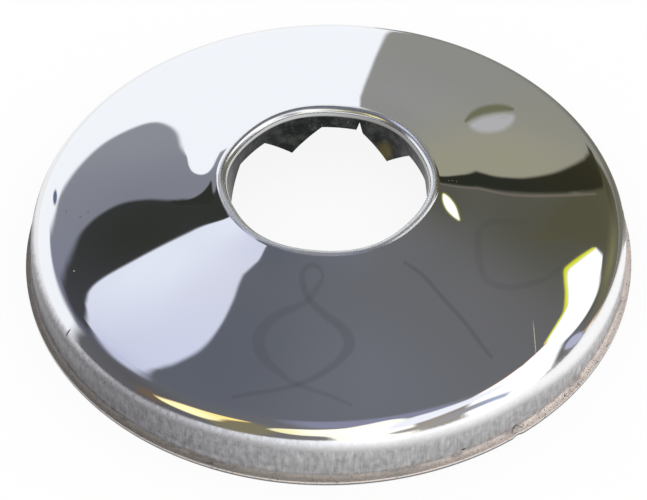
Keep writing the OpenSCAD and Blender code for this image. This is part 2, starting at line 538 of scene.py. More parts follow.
def drawn_skin(tree, x, y, z):
    """Masks of the skirt: how polished it is, how dull, which side, how light with its painted light and
    shade, and its streaks.
    """
    fine = tree.noise(tree.point(x, y, z * STREAK_STRETCH), 0.26, 3.0) - 0.5
    mottle = tree.noise(tree.point(x, y, z * 0.7), 0.6, 4.0) - 0.5
    streaks = fine * 0.45 + mottle * 0.55
    buffed = tree.smooth(z, *BUFFED_ABOVE)
    # Painted shade and light: side runs from 0 at the left, painted darker, to 1 at the right, painted
    # lighter.
    side = tree.smooth(x, *LEFT_SHADE_FADE)
    dull_top = 4.75 - 0.75 * tree.smooth(x, -12.0, 18.0) - 0.9 * tree.smooth(x, 19.0, 28.0)
    above_dull = tree.smooth(z - dull_top - streaks * 1.6, -0.5, 1.0)
    # Painted light: the dull skin is painted lighter near the bottom fold (most at the left), up the skirt
    # and towards the right, and the satin band is painted lighter towards the right.
    by_the_fold = 1 + (0.95 - 0.65 * side) * (1 - tree.smooth(z, 0.7, 2.0))
    up_the_skirt = 0.92 + 0.2 * tree.smooth(z, 1.0, 3.8)
    dull = (0.19 + 0.24 * side + 0.1 * tree.smooth(x, 20.0, 29.0)) * up_the_skirt * by_the_fold
    satin = 0.82 + 0.14 * tree.smooth(x, -12.0, 6.0)
    light = dull * (1 + streaks * 1.9) * (1 - above_dull) + satin * (1 + streaks * 0.2) * above_dull
    return buffed, above_dull, side, light, streaks


# %% [markdown]
# The rim is the torn edge where the disc was trimmed. It is paler and warmer than the skirt, and
# painted lighter still towards the right and on its cut edge, as painted light, with dark pits.
# A broken dark line is painted in the fold above it, as painted shade in the crease.
# %% The rim's grit, and the painted shade in its fold
RIM_TINT = paint(255, 248, 244)
# Colour of the pits and specks, and of the painted shade in the fold.
PIT_AND_FOLD_SHADE_COLOUR = paint(74, 64, 66)


def rim_skin(tree, place, z):
    """Masks of the rim: where it is, its pits joined with the painted shade in the fold, and its grain."""
    grit = tree.noise(place, 0.3, 4.0)
    patches = tree.noise(place, 2.6, 2.0)
    on_rim = 1 - tree.smooth(z, 0.7, 0.95)
    fold = tree.smooth(z, 0.5, 0.6) * (1 - tree.smooth(z, 0.75, 0.95))
    # The pits come first. The painted shade in the fold is joined to them at the return.
    pits_and_fold_shade = tree.smooth(grit + (patches - 0.5) * 0.3, 0.6, 0.68) * on_rim
    # Painted shade: a broken dark line in the fold above the rim.
    fold_shade = tree.smooth(grit * 0.4 + patches * 0.6, 0.5, 0.6) * fold
    return on_rim, tree.larger(pits_and_fold_shade * 0.6, fold_shade * 0.5), grit


# %% [markdown]
# Scratches, specks and stains are single marks. Each is a spot stretched along a line: the
# distance from its middle is measured in half-lengths along and half-widths across. Each has
# a start, an end and a half width. The places are on the surface, in millimetres, so the marks
# stay put from every side.
# %% Single marks
def on_flange(turn, distance, height):
    """A place on the flange from its angle, clockwise from the far side, and its radius."""
    return Vector((distance * sin(radians(turn)), distance * cos(radians(turn)), height))


def mark(tree, place, start, end, half_width, softness=0.35):
    """1 on a mark that runs from start to end, and 0 away from it."""
    middle, half_length = (start + end) / 2, (end - start).length / 2 + half_width
    way = (end - start).normalized() if start != end else Vector((0, 0, 1))
    offset = tree.wire("ShaderNodeVectorMath", {"operation": "SUBTRACT"}, {0: place, 1: middle})
    along = tree.wire("ShaderNodeVectorMath", {"operation": "DOT_PRODUCT"}, {0: offset, 1: way}, out=1)
    length = tree.wire("ShaderNodeVectorMath", {"operation": "LENGTH"}, {0: offset}, out=1)
    across = tree.larger(length * length - along * along, 0.0)
    far = tree.math("SQRT", along * along / half_length ** 2 + across / half_width ** 2)
    return 1 - tree.smooth(far, 1 - softness, 1 + softness)


DARK_MARKS = [
    (on_flange(237.3, 33.66, 4.85), on_flange(237.1, 33.15, 5.6), 0.09),
    (on_flange(261.6, 33.87, 4.35), on_flange(261.0, 34.02, 3.4), 0.13),
    (on_flange(267.2, 29.63, 7.1), on_flange(267.2, 29.63, 7.1), 0.10),
    (on_flange(264.3, 27.98, 7.51), on_flange(264.3, 27.98, 7.51), 0.09),
    (on_flange(265.2, 27.06, 7.72), on_flange(265.2, 27.06, 7.72), 0.08),
    (on_flange(146.6, 34.5, 0.55), on_flange(145.4, 34.15, 1.15), 0.12),
    (on_flange(144.4, 34.5, 0.55), on_flange(145.2, 34.3, 0.9), 0.10),
    (on_flange(156.6, 34.2, 1.15), on_flange(156.2, 34.2, 1.15), 0.12),
    (on_flange(133.6, 34.6, 0.5), on_flange(133.2, 34.3, 0.8), 0.10),
]
BLUE_STAIN = (on_flange(274.2, 31.3, 6.66), on_flange(270.4, 31.05, 6.74), 0.24)
PALE_MARKS = [
    (on_flange(131.75, 28.91, 7.28), on_flange(136.75, 31.47, 6.62), 0.055),
    (on_flange(249.0, 29.88, 7.04), on_flange(249.0, 29.88, 7.04), 0.09),
    (on_flange(92.5, 13.6, 10.27), on_flange(92.5, 13.6, 10.27), 0.05),
    (on_flange(92.0, 14.0, 10.19), on_flange(92.0, 14.0, 10.19), 0.06),
    (on_flange(92.2, 14.5, 10.10), on_flange(92.2, 14.5, 10.10), 0.05),
]


def all_marks(tree, place, marks):
    """Several marks as one mask."""
    masks = [mark(tree, place, *one) for one in marks]
    joined = masks[0]
    for mask in masks[1:]:
        joined = tree.larger(joined, mask)
    return joined


print(f"{len(DARK_MARKS) + len(PALE_MARKS) + 1} single marks")


# %% [markdown]
# Inside the hole the sheet was never buffed. The collar and the teeth are painted near-black,
# as painted shade, with faint pale speckles, and one tooth has a brown stain at its tip. The
# back of the sheet is a dark, dull grey with the faint rings that drawing leaves.
# %% The collar, the teeth and the back
COLLAR_SHADE = paint(38, 40, 39)
COLLAR_SPECKLE = paint(112, 116, 112)
BROWN_STAIN = (on_flange(36.0, 11.3, 5.2), on_flange(37.5, 11.3, 6.4), 0.9)
BROWN = paint(96, 86, 52)


def inner_skin(tree, place, radius, z):
    """Mask of the collar's inside, and its colour, painted near-black as shade."""
    inside = (1 - tree.smooth(z, 9.55, 9.8)) * (1 - tree.smooth(radius, 11.45, 11.6))
    specks = tree.smooth(tree.noise(place, 0.3, 2.0), 0.6, 0.7)
    clouds = tree.noise(place, 1.5, 3.0)
    # Painted shade: the collar and the teeth are painted near-black.
    colour = tree.blend(tree.smooth(clouds, 0.4, 0.75) * 0.3, COLLAR_SHADE, COLLAR_SPECKLE)
    colour = tree.blend(specks * 0.35, colour, COLLAR_SPECKLE)
    return inside, tree.blend(mark(tree, place, *BROWN_STAIN, 0.6) * 0.8, colour, BROWN)


def back_light(tree, place, radius):
    """How light the back of the sheet is."""
    rings = tree.noise(tree.point(radius, 0.0, 0.0), 0.5, 2.0)
    clouds = tree.noise(place, 6.0, 3.0)
    return 0.2 + 0.1 * (rings - 0.5) + 0.16 * (clouds - 0.5)


# %% [markdown]
# All the masks meet in one Principled shader. It is metal throughout. Base Color and Roughness
# change from place to place, and a Bump of the streaks and the grit gives the skirt its tooth.
# On the buffed face the roughness is low and almost even: a faint haze is all that a mirror
# with fingerprints on it needs. The wheel skips over the narrow lip, which stays hazier.
# %% The plating
CHROME = (0.80, 0.805, 0.81, 1.0)
BLACK = (0.0, 0.0, 0.0, 1.0)
SKIRT_TINT = paint(255, 254, 255)
# Painted shade: the skirt's left side is tinted a little bluer.
LEFT_SHADE_TINT = paint(250, 248, 255)
# Painted shade for the lip's roll into the hole.
THROAT_SHADE = paint(70, 62, 60)
DARK_MARK = paint(30, 26, 30)
BLUE_MARK = paint(38, 62, 98)
PALE_MARK = paint(226, 220, 196)
MIRROR_ROUGH = 0.012
SKIRT_ROUGH = 0.36
BACK_ROUGH = 0.35
MARK_ROUGH = 0.45


def skirt_colour(tree, place, x, y, z):
    """The colour of the skirt and the rim, with their painted light and shade, and the masks that the
    roughness needs again.
    """
    buffed, above_dull, side, light, streaks = drawn_skin(tree, x, y, z)
    on_rim, pits_and_fold_shade, grit = rim_skin(tree, place, z)
    # The left side takes the bluish tint of the painted shade.
    skirt = tree.blend(light, BLACK, tree.blend(side, LEFT_SHADE_TINT, SKIRT_TINT))
    # Painted light: the rim is painted lighter towards the right and on its cut edge.
    cut_edge = 1 - tree.smooth(z, 0.42, 0.5)
    rim_light = 0.5 + 0.25 * side + 0.25 * tree.smooth(x, 6.0, 24.0) + 0.3 * cut_edge
    rim = tree.blend(rim_light * (0.6 + 0.8 * grit), BLACK, RIM_TINT)
    skirt = tree.blend(on_rim, skirt, rim)
    # Dark specks lie on the dull skin at the left. They take the pit colour, as do the rim's pits and the
    # painted shade in the fold.
    left_specks = tree.smooth(grit, 0.57, 0.66) * (1 - side) * (1 - above_dull)
    skirt = tree.blend(tree.larger(pits_and_fold_shade, left_specks * 0.5), skirt, PIT_AND_FOLD_SHADE_COLOUR)
    return skirt, (buffed, above_dull, streaks, on_rim, pits_and_fold_shade, grit)


def plate_material():
    """The one material of the sheet, from the buffed face to the scale in the hole."""
    made, tree = new_material("chrome_plate")
    metres = tree.wire("ShaderNodeTexCoord", out=3)
    place = tree.wire("ShaderNodeVectorMath", {"operation": "SCALE"}, {0: metres, "Scale": 1 / MM})
    x, y, z = tree.parts(place)
    radius = tree.math("SQRT", x * x + y * y)
    hidden = tree.wire("ShaderNodeAttribute", {"attribute_name": "hidden_side"}, out=2)
    is_back = tree.smooth(hidden, 0.4, 0.6)

    skirt, masks = skirt_colour(tree, place, x, y, z)
    buffed, above_dull, streaks, on_rim, pits_and_fold_shade, grit = masks
    colour = tree.blend(buffed, skirt, CHROME)
    # Painted shade: where the lip rolls down into the hole it is painted darker, most at the right.
    shaded_throat = (1 - tree.smooth(radius, 11.5, 11.75)) * (1 - tree.smooth(z, 9.95, 10.4))
    colour = tree.blend(shaded_throat * (0.25 + 0.45 * tree.smooth(x, -4.0, 8.0)), colour, THROAT_SHADE)

    dark = all_marks(tree, place, DARK_MARKS)
    pale = all_marks(tree, place, PALE_MARKS)
    blue = mark(tree, place, *BLUE_STAIN)
    colour = tree.blend(dark * 0.9, colour, DARK_MARK)
    colour = tree.blend(blue * 0.9, colour, BLUE_MARK)
    colour = tree.blend(pale, colour, PALE_MARK)
    inside, inside_colour = inner_skin(tree, place, radius, z)
    colour = tree.blend(inside, colour, inside_colour)
    back_colour = tree.blend(back_light(tree, place, radius), BLACK, SKIRT_TINT)
    colour = tree.blend(is_back, colour, back_colour)

    haze = tree.noise(place, 7.0, 3.0)
    on_lip = 1 - tree.smooth(radius, 12.15, 12.55)
    not_buffed = 1 - buffed
    lip_rough = on_lip * (0.38 - 0.2 * tree.smooth(y, -7.0, 5.0))
    skirt_rough = SKIRT_ROUGH - 0.2 * above_dull + 0.1 * streaks + 0.5 * on_rim
    rough = MIRROR_ROUGH + 0.02 * haze + lip_rough + not_buffed * skirt_rough
    rough = rough + (BACK_ROUGH - rough) * tree.larger(inside, is_back)
    marked = tree.larger(pale, tree.larger(dark, pits_and_fold_shade * not_buffed))
    rough = rough + (MARK_ROUGH - rough) * marked
    relief = (streaks * 0.8 + (grit - 0.5) * on_rim * 2.0 - dark) * not_buffed * (1 - is_back)
    bump = tree.wire("ShaderNodeBump", (), {"Strength": 0.5, "Distance": 0.03 * MM, "Height": relief})
    plate = tree.wire("ShaderNodeBsdfPrincipled", (),
                      {"Base Color": colour, "Metallic": 1.0, "Roughness": rough, "Normal": bump})
    tree.node("ShaderNodeOutputMaterial", (), {"Surface": plate})
    print(f"the plating has {len(made.node_tree.nodes)} nodes")
    return made


# %% [markdown]
# With the finish ready, the sheet can be pressed. It rides on the part's one body and stands for
# the imported solid.
# %% The chromed sheet
sheet = press_sheet(plate_material())
mesh = sheet.data
triangles = sum(len(p.vertices) - 2 for p in mesh.polygons)
print(f"sheet: {len(mesh.vertices)} points, {len(mesh.polygons)} faces, {triangles} triangles")
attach(sheet, "root")
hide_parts("flange")

# %% [markdown]
# The camera looks down at the flange as it lies on a table. Its height, distance and aim were
# worked out from the ellipses of the rim and of the lip. A matrix built from the way it looks
# back and the way it leans says exactly that, with no angles to convert.
# %% Camera
camera_height = radians(45.92)
camera_roll = radians(-0.75)
camera_distance = 200 * MM
look_at = Vector((-0.57, -7.97, 7.0)) * MM
sensor_width = 36.0
picture_px = (647, 500)
focal_px = 1810
back = Vector((0, -cos(camera_height), sin(camera_height)))
right = Vector((1, 0, 0))
up = back.cross(right)
rolled_right = cos(camera_roll) * right + sin(camera_roll) * up
rolled_up = cos(camera_roll) * up - sin(camera_roll) * right
camera_data = bpy.data.cameras.new("camera")
camera_data.sensor_width = sensor_width
camera_data.lens = focal_px / picture_px[0] * sensor_width
camera_data.clip_start = 0.01
camera = bpy.data.objects.new("camera", camera_data)
turned = Matrix((rolled_right, rolled_up, back)).transposed()
eye = look_at + back * camera_distance
camera.matrix_world = Matrix.Translation(eye) @ turned.to_4x4()
bpy.context.scene.collection.objects.link(camera)
bpy.context.scene.camera = camera
print(f"lens {camera_data.lens:.1f} mm")

# %% [markdown]
# A mirror is only as good as what stands round it. The flange leans back, so its nearly flat
# face looks up and away from the camera, at the wall and ceiling behind the set. A photographer
# hangs white and dark cards there. Here each card is a flat outline bent onto a large ball
# round the flange, in degrees across and over from the line that a level mirror would see. The
# cards show in mirrors alone: they cast no light and no shadow, so the light stays plain.
# %% Places in the room, as the mirror sees them
mirror_line = Vector((0, cos(camera_height), sin(camera_height)))
over_way = Vector((0, -sin(camera_height), cos(camera_height)))
room_centre = Vector((0, 0, 8 * MM))


def room_point(across, over, distance):
    """The point in the room that lies so many degrees across and over from the mirror line."""
    turn = hypot(across, over)
    if turn < 1e-6:
        return room_centre + mirror_line * distance
    sideways = (across * right + over * over_way) / turn
    return room_centre + distance * (cos(radians(turn)) * mirror_line + sin(radians(turn)) * sideways)


print("the mirror looks along", [round(part, 3) for part in mirror_line])


# %% [markdown]
# A card glows with its own colour, so that the mirror shows exactly that colour. Its edge fades
# from covered to clear, as a card's edge does when it is out of focus. Both come from attributes
# on the card's mesh, and one material serves every card.
# %% The cards' own material
def card_material():
    """A one-sided glow that fades out where its cover does."""
    made, tree = new_material("card_light")
    made.cycles.emission_sampling = "NONE"
    cover = tree.wire("ShaderNodeAttribute", {"attribute_name": "cover"}, out=2)
    strength = tree.wire("ShaderNodeAttribute", {"attribute_name": "strength"}, out=2)
    light = tree.wire("ShaderNodeAttribute", {"attribute_name": "light"})
    glow = tree.wire("ShaderNodeEmission", (), {"Color": light})
    clear = tree.wire("ShaderNodeBsdfTransparent")
    behind = Wire(tree, tree.node("ShaderNodeNewGeometry").outputs["Backfacing"])
    share = tree.smooth(cover, 0.0, 1.0) * strength * (1 - behind)
    mixed = tree.wire("ShaderNodeMixShader", (), {0: share, 1: clear, 2: glow})
    tree.node("ShaderNodeOutputMaterial", (), {"Surface": mixed})
    return made


# %% [markdown]
# A card is cut from an outline of a few points. A smooth line runs through them, a fringe of
# faces along it carries the fade, and long edges are split so that the flat shape can be bent.
# A point may have a third number, the width of the fade there, for a card that is sharp at one
# end and lost in a blur at the other. The colour may be one, or turn from one tint to another,
# as paper does under uneven light.
# %% Cutting a card
PLATE_MIRRORS = 0.80
LONGEST_EDGE = 5.0
SPLIT_ROUNDS = 5
TINTS_MIX_OVER = 20
card_light = card_material()
cards = []


def rounded(outline, closed=True, steps=8):
    """A line that runs smoothly through the outline's points."""
    count, line = len(outline), []
    pick = (lambda i: i % count) if closed else (lambda i: min(max(i, 0), count - 1))
    for i in range(count if closed else count - 1):
        p0, p1, p2, p3 = (Vector(outline[pick(i + k - 1)]) for k in range(4))
        for step in range(steps):
            t = step / steps
            line.append(0.5 * (2 * p1 + (p2 - p0) * t + (2 * p0 - 5 * p1 + 4 * p2 - p3) * t * t
                               + (3 * p1 - p0 - 3 * p2 + p3) * t ** 3))
    return line if closed else line + [Vector(outline[-1])]


def tinted(tints, spot):
    """The card's light at a spot, from the tints near it."""
    weights = [1 / ((spot - Vector(at)).length_squared + TINTS_MIX_OVER) for at, _ in tints]
    lights = [linear(colour) for _, colour in tints]
    return [sum(w * light[k] for w, light in zip(weights, lights)) / sum(weights) for k in range(3)]


def cut_card(line):
    """The flat mesh of a card and its fringe. A point's height says how well it covers."""
    count = len(line)
    flat = [p.xy for p in line]
    area = sum(flat[i - 1].cross(flat[i]) for i in range(count)) / 2
    outward = 1 if area > 0 else -1
    inner, outer = [], []
    for i in range(count):
        along = (flat[(i + 1) % count] - flat[i - 1]).normalized()
        out_way = Vector((along.y, -along.x)) * outward
        inner.append(flat[i] - out_way * line[i].z / 2)
        outer.append(flat[i] + out_way * line[i].z / 2)
    work = bmesh.new()
    ring_in = [work.verts.new((p.x, p.y, 1.0)) for p in inner]
    ring_out = [work.verts.new((p.x, p.y, 0.0)) for p in outer]
    for triangle in tessellate_polygon([[Vector((p.x, p.y, 0)) for p in inner]]):
        corners = [ring_in[k] for k in triangle]
        if len(set(corners)) == 3 and not work.faces.get(corners):
            work.faces.new(corners)
    for i in range(count):
        k = (i + 1) % count
        work.faces.new((ring_in[i], ring_in[k], ring_out[k], ring_out[i]))
    for _ in range(SPLIT_ROUNDS):
        long_edges = [e for e in work.edges if e.calc_length() > LONGEST_EDGE]
        bmesh.ops.subdivide_edges(work, edges=long_edges, cuts=1)
        bmesh.ops.triangulate(work, faces=[f for f in work.faces if len(f.verts) > 4])
    return work


# %% [markdown]
# Far cards are bent onto a ball of four metres. Each new one hangs a little nearer, so that it
# covers those before it. A few small things need another way. On the round neck and on the face
# the mirror shows the same part of the room twice, but a thing close above the metal shows only
# once. So a near card is drawn where the picture has it. A tree of the sheet's faces finds the
# ray that the metal mirrors at each of its points, and the card stands square to the middle ray.
# One card lies flat over the table, because the far shoulder mirrors the ground behind it.
# %% Where cards hang
FARTHEST_CARD = 4.0
CARD_STEP = 0.985
OVER_TABLE = 0.3
surface = BVHTree.FromObject(sheet, bpy.context.evaluated_depsgraph_get())


def far_place(across, over):
    """A point of a far card."""
    return room_point(across, over, FARTHEST_CARD * CARD_STEP ** len(cards))


def flat_place(x, y):
    """A point of a card that lies flat over the table, in millimetres."""
    return Vector((x, y, OVER_TABLE)) * MM


def mirrored(x, y):
    """The spot that the camera sees at a point of the picture, and the ray mirrored there."""
    across = (x - picture_px[0] / 2) * rolled_right
    over = (picture_px[1] / 2 - y) * rolled_up
    way = (across + over - focal_px * back).normalized()
    spot, _, face, _ = surface.ray_cast(eye, way)
    corners = [mesh.vertices[i] for i in mesh.polygons[face].vertices]
    shares = poly_3d_calc([v.co for v in corners], spot)
    normal = sum((v.normal * share for v, share in zip(corners, shares)), Vector())
    return spot, way.reflect(normal.normalized())


def near_place(outline, reach):
    """A rule for the points of a card that hangs this far above the metal."""
    middle = sum((Vector(p[:2]) for p in outline), Vector((0, 0))) / len(outline)
    spot, ray = mirrored(*middle)
    anchor = spot + ray * reach

    def place(x, y):
        start, along = mirrored(x, y)
        return start + along * ((anchor - start).dot(ray) / along.dot(ray))
    return place


print(f"far cards hang from {FARTHEST_CARD} m inwards, round a sheet of {len(mesh.polygons)} faces")


# %% [markdown]
# Every card is lit on one side only, so that nothing odd hangs there when seen from behind. A
# far card is lit towards the flange, the flat one upwards, and a near one towards the metal
# below it. Blender can hide an object from one kind of ray at a time: only mirrors see a card.
# %% Hanging a card
BELOW_THE_METAL = -mirror_line * FARTHEST_CARD
LIT_TOWARDS = {far_place: room_centre, flat_place: Vector((0, 0, FARTHEST_CARD))}


def face_towards(work, viewer):
    """Turns every face of a card to a point."""
    work.normal_update()
    for face in work.faces:
        if face.normal.dot(face.calc_center_median() - viewer) > 0:
            face.normal_flip()


def hang(name, work, tints, rim, strength, place):
    """Puts a cut card's points in their places, turns it to the metal and lights it."""
    shape = bpy.data.meshes.new(name)
    covers, lights = [], []
    for v in work.verts:
        covers.append(v.co.z)
        light = linear(rim) if rim and v.co.z < 0.5 else tinted(tints, v.co.xy)
        lights.extend([c / PLATE_MIRRORS for c in light] + [1.0])
        v.co = place(v.co.x, v.co.y)
    face_towards(work, LIT_TOWARDS.get(place, BELOW_THE_METAL))
    work.to_mesh(shape)
    work.free()
    strengths = [strength] * len(covers)
    shape.attributes.new("cover", "FLOAT", "POINT").data.foreach_set("value", covers)
    shape.attributes.new("strength", "FLOAT", "POINT").data.foreach_set("value", strengths)
    shape.attributes.new("light", "FLOAT_COLOR", "POINT").data.foreach_set("color", lights)
    shape.materials.append(card_light)
    made = bpy.data.objects.new("card_" + name, shape)
    for ray in ("camera", "diffuse", "transmission", "volume_scatter", "shadow"):
        setattr(made, "visible_" + ray, False)
    bpy.context.scene.collection.objects.link(made)
    cards.append(made)
    print(f"{made.name}: {len(shape.polygons)} faces")


# %% [markdown]
# Two calls hang everything: a card has an outline, and a cord has a route with a width at each
# of its points. A far thing takes degrees across and over. A near one takes the picture's own
# points and its reach, the height at which it hangs above the metal.
# %% Cards and cords
def card(name, outline, tints, blur=1.0, rim=None, strength=1.0, place=far_place, reach=None):
    """One card. tints is a colour, or places with their colours, and rim colours its very edge."""
    if not isinstance(tints[0], tuple):
        tints = [((0, 0), tints)]
    if reach:
        place = near_place(outline, reach)
    line = rounded([p if len(p) == 3 else (*p, blur) for p in outline])
    hang(name, cut_card(line), tints, rim, strength, place)


def cord(name, route, colour, strength, blur=0.5, reach=None):
    """A thin line that hangs before the cards, such as a cable or the fringe of a window."""
    line = rounded(route, closed=False)
    one_side, other_side = [], []
    for i, p in enumerate(line):
        along = (line[min(i + 1, len(line) - 1)] - line[max(i - 1, 0)]).xy.normalized()
        off = Vector((along.y, -along.x)) * p.z / 2
        fade = min(blur, p.z * 0.9)
        one_side.append(Vector((*(p.xy + off), fade)))
        other_side.append(Vector((*(p.xy - off), fade)))
    place = near_place(route, reach) if reach else far_place
    hang(name, cut_card(one_side + other_side[::-1]), [((0, 0), colour)], None, strength, place)


# %% [markdown]
# The dark half of the room comes first: one large grey wall that fills the front of the face.
# Its left end reaches round behind the camera, where only the shoulder can see it. Three faint
# glows lie on it, since no wall is lit evenly.
# %% The grey wall
card("grey_wall",
     [(-100, 6, 10), (-94, -8, 10), (-82, 4, 10), (-68, 13, 8), (-56, 16, 10), (-46, 15, 8), (-38, 4, 6),
      (-30, -1), (-12, -3), (0, -6), (9, -7.6, 1), (18, -6.8, 1), (24, -8, 1.5), (32, -6), (60, 0),
      (86, 0), (98, 14), (98, 40), (86, 66), (66, 92), (40, 108), (0, 112), (-30, 108), (-56, 96),
      (-76, 80), (-92, 60), (-102, 34)],
     [((5, 30), (107, 110, 119)), ((-13, 26), (90, 94, 105)), ((16, 17), (104, 104, 107)),
      ((24, 2), (80, 79, 66)), ((-60, 40), (88, 88, 92)), ((44, 80), (158, 150, 142))], 3.0)
card("olive_glow", [(-26, 64), (-34, 66), (-46, 74), (-62, 80), (-60, 96), (-40, 100), (-26, 92), (-22, 76)],
     (140, 132, 86), 10.0, strength=0.5)
card("blue_glow", [(-8, 50), (2, 46), (16, 44), (28, 48), (30, 56), (18, 58), (6, 68), (-6, 68)],
     (142, 144, 172), 10.0, strength=0.7)
card("brown_streak", [(-60, 48), (-72, 46), (-84, 44), (-84, 56), (-72, 60), (-60, 56)], (108, 94, 80), 8.0)

# %% [markdown]
# At the right the room darkens to olive and brown, and from there round to the window's foot
# one dark corner fills the shoulder. Its far side ends in the light with an orange edge, and a
# pale lilac patch lies on it beside the window.
# %% The dark corner
card("dark_corner",
     [(24, 3, 4), (29, 1, 3), (36, 0, 3), (44, 1.5, 5), (51, 6, 5), (55, 12, 5), (57, 17, 5), (58, 22, 5),
      (62, 25, 6), (68, 22, 6), (74, 15, 7), (79, 6, 7), (82, -6, 7), (82, -20, 7), (78, -34, 7),
      (72, -47, 7), (64, -58, 7), (52, -68, 7), (38, -76, 7), (33, -72, 6), (35, -60, 4), (36, -46, 4),
      (33, -33, 3), (29.5, -22, 2), (27, -13, 2), (25, -6, 4)],
     [((27, -3), (80, 78, 60)), ((38, -22), (68, 66, 47)), ((44, -52), (80, 76, 56)),
      ((54, -8), (124, 122, 86)), ((57, 12), (78, 74, 62)), ((66, -24), (104, 98, 92)),
      ((66, 24), (116, 120, 134))])
cord("corner_line", [(74, -40, 1), (80, -16, 3), (82, 0, 3), (80, 12, 1)], (206, 160, 108), 0.8, blur=4.0)
card("corner_light", [(66, 21), (70, 24), (80, 20), (88, 9), (86, 3), (78, 10), (70, 17)],
     (184, 187, 214), 2.5, strength=0.8)

# %% [markdown]
# The right half of the far side is a sheet of olive-grey card, and its lower part lies over the
# table. Along its near edge runs a dark trim, one band that widens to the right, with a thin
# pinkish line of light before it.
# %% The olive card and its dark trim
card("olive_card",
     [(1.5, -6), (2.6, -14), (3.6, -20), (4.3, -25), (5, -31), (6, -38, 1), (9, -48, 3), (14, -60, 4),
      (20, -78, 5), (32, -96, 6), (58, -88, 6), (76, -64, 6), (62, -46, 5), (44, -34, 4), (33, -23, 2),
      (27, -12), (20, -5.5), (13, -4.6), (8, -5)],
     [((19, -11), (153, 150, 127)), ((8, -20), (143, 143, 145)), ((14, -27), (136, 136, 134)),
      ((24, -24), (140, 139, 126)), ((24, -46), (128, 128, 126)), ((40, -74), (138, 138, 136))], 0.5)
card("olive_below",
     [(11, 35.2), (16, 33.4), (22.5, 29.4), (29, 23), (34, 14.5), (36.6, 6), (42, 2, 3), (90, 6, 8),
      (800, 60, 40), (900, 500, 40), (500, 900, 40), (90, 800, 40), (16, 120, 8), (11.5, 60, 4)],
     [((20, 45), (136, 136, 134)), ((40, 22), (104, 102, 90)), ((50, 60), (120, 120, 110))], 0.6,
     place=flat_place)
card("dark_trim",
     [(9, -3.2), (14.5, -3.4), (18.2, -3.3), (21, -4.1), (24.2, -5.9), (27.6, -9), (33, -16, 2),
      (33, -26, 3), (29.5, -23, 2), (26.6, -16.2, 1), (25.4, -13), (23.8, -9.9), (21.5, -7.4), (19.6, -6.4),
      (18.1, -6.1), (16.6, -6.5), (14.5, -7.3), (9, -7.6)],
     [((18, -5), (38, 42, 36)), ((26, -11), (44, 42, 30)), ((32, -22), (66, 64, 44))], 0.7)
cord("trim_line",
     [(13, -3.4, 0.3), (18.2, -2.9, 0.35), (21.4, -3.6, 0.4), (25, -5.9, 0.4), (28.4, -8.9, 0.3)],
     (134, 122, 112), 0.45, blur=0.35)

# %% [markdown]
# At the left, a grey tongue, a black flag and a pale lobe lie over each other. Their curved
# edges meet at the hole, which makes the swirl that the eye goes to first. Out on the shoulder
# all three fade into each other.
# %% The tongue, the black flag and the pale lobe
card("grey_tongue",
     [(-54, 18, 9), (-50.5, 11, 13), (-44, 5, 10), (-38, 1, 7), (-33.8, -2, 4), (-31, -4.3, 2.4),
      (-29.4, -6.6, 1.4), (-28, -9.6, 0.9), (-25.4, -13.7), (-22.3, -17), (-19.2, -18.5),
      (-17.2, -18.6), (-16, -17.2), (-15.4, -15), (-15.4, -11.4), (-14.8, -8), (-13, -4), (-12, 0),
      (-18, 3), (-28, 6), (-40, 16)],
     [((-25, -8), (130, 132, 144)), ((-20, -15), (141, 144, 150)), ((-22, -4.5), (118, 120, 130)),
      ((-36, 4), (124, 126, 146))], 0.7)
card("pale_lobe",
     [(-6, 6), (-8.2, 10), (-10.1, 13.6), (-11, 16), (-11.8, 18.4), (-13.4, 21.5), (-15.8, 24, 1),
      (-19, 24.9, 1), (-21.9, 25, 1.4), (-26, 27.6, 4), (-32, 32, 7), (-38, 34, 12), (-42, 29, 16),
      (-40, 23, 14), (-35, 18, 9), (-31, 14.6, 4), (-28.9, 12.4, 1.4), (-28.1, 10.6, 0.8), (-27.5, 9.1),
      (-26, 8.1), (-22.3, 7.1), (-17.1, 5.6), (-12, 3.9), (-9, 2.5)],
     [((-18, 22), (204, 208, 232)), ((-20, 10), (232, 236, 248)), ((-13, 17), (206, 209, 224)),
      ((-30, 24), (182, 186, 212))], 0.6)
card("black_flag",
     [(-8, 3.6), (-12, 4.2), (-17.1, 5.5), (-22.3, 7.1), (-26, 8.1), (-27.6, 9.2), (-28.2, 10.8),
      (-29.2, 13.2, 1.6), (-32.5, 17.4, 4), (-38, 21, 8), (-48, 27, 12), (-54, 22, 12), (-46, 14, 10),
      (-39, 9.5, 8), (-33.2, 6.6, 5), (-29.7, 3.8, 2), (-28.3, 1.4, 1.2), (-27, -1.2, 0.9), (-25, -3),
      (-22.5, -3.8), (-20, -3.1), (-17.8, -1.7), (-15.5, -0.8), (-8, -0.6)],
     [((-22, 3), (45, 47, 42)), ((-34, 12), (64, 64, 70)), ((-46, 20), (92, 92, 104))], 0.8)

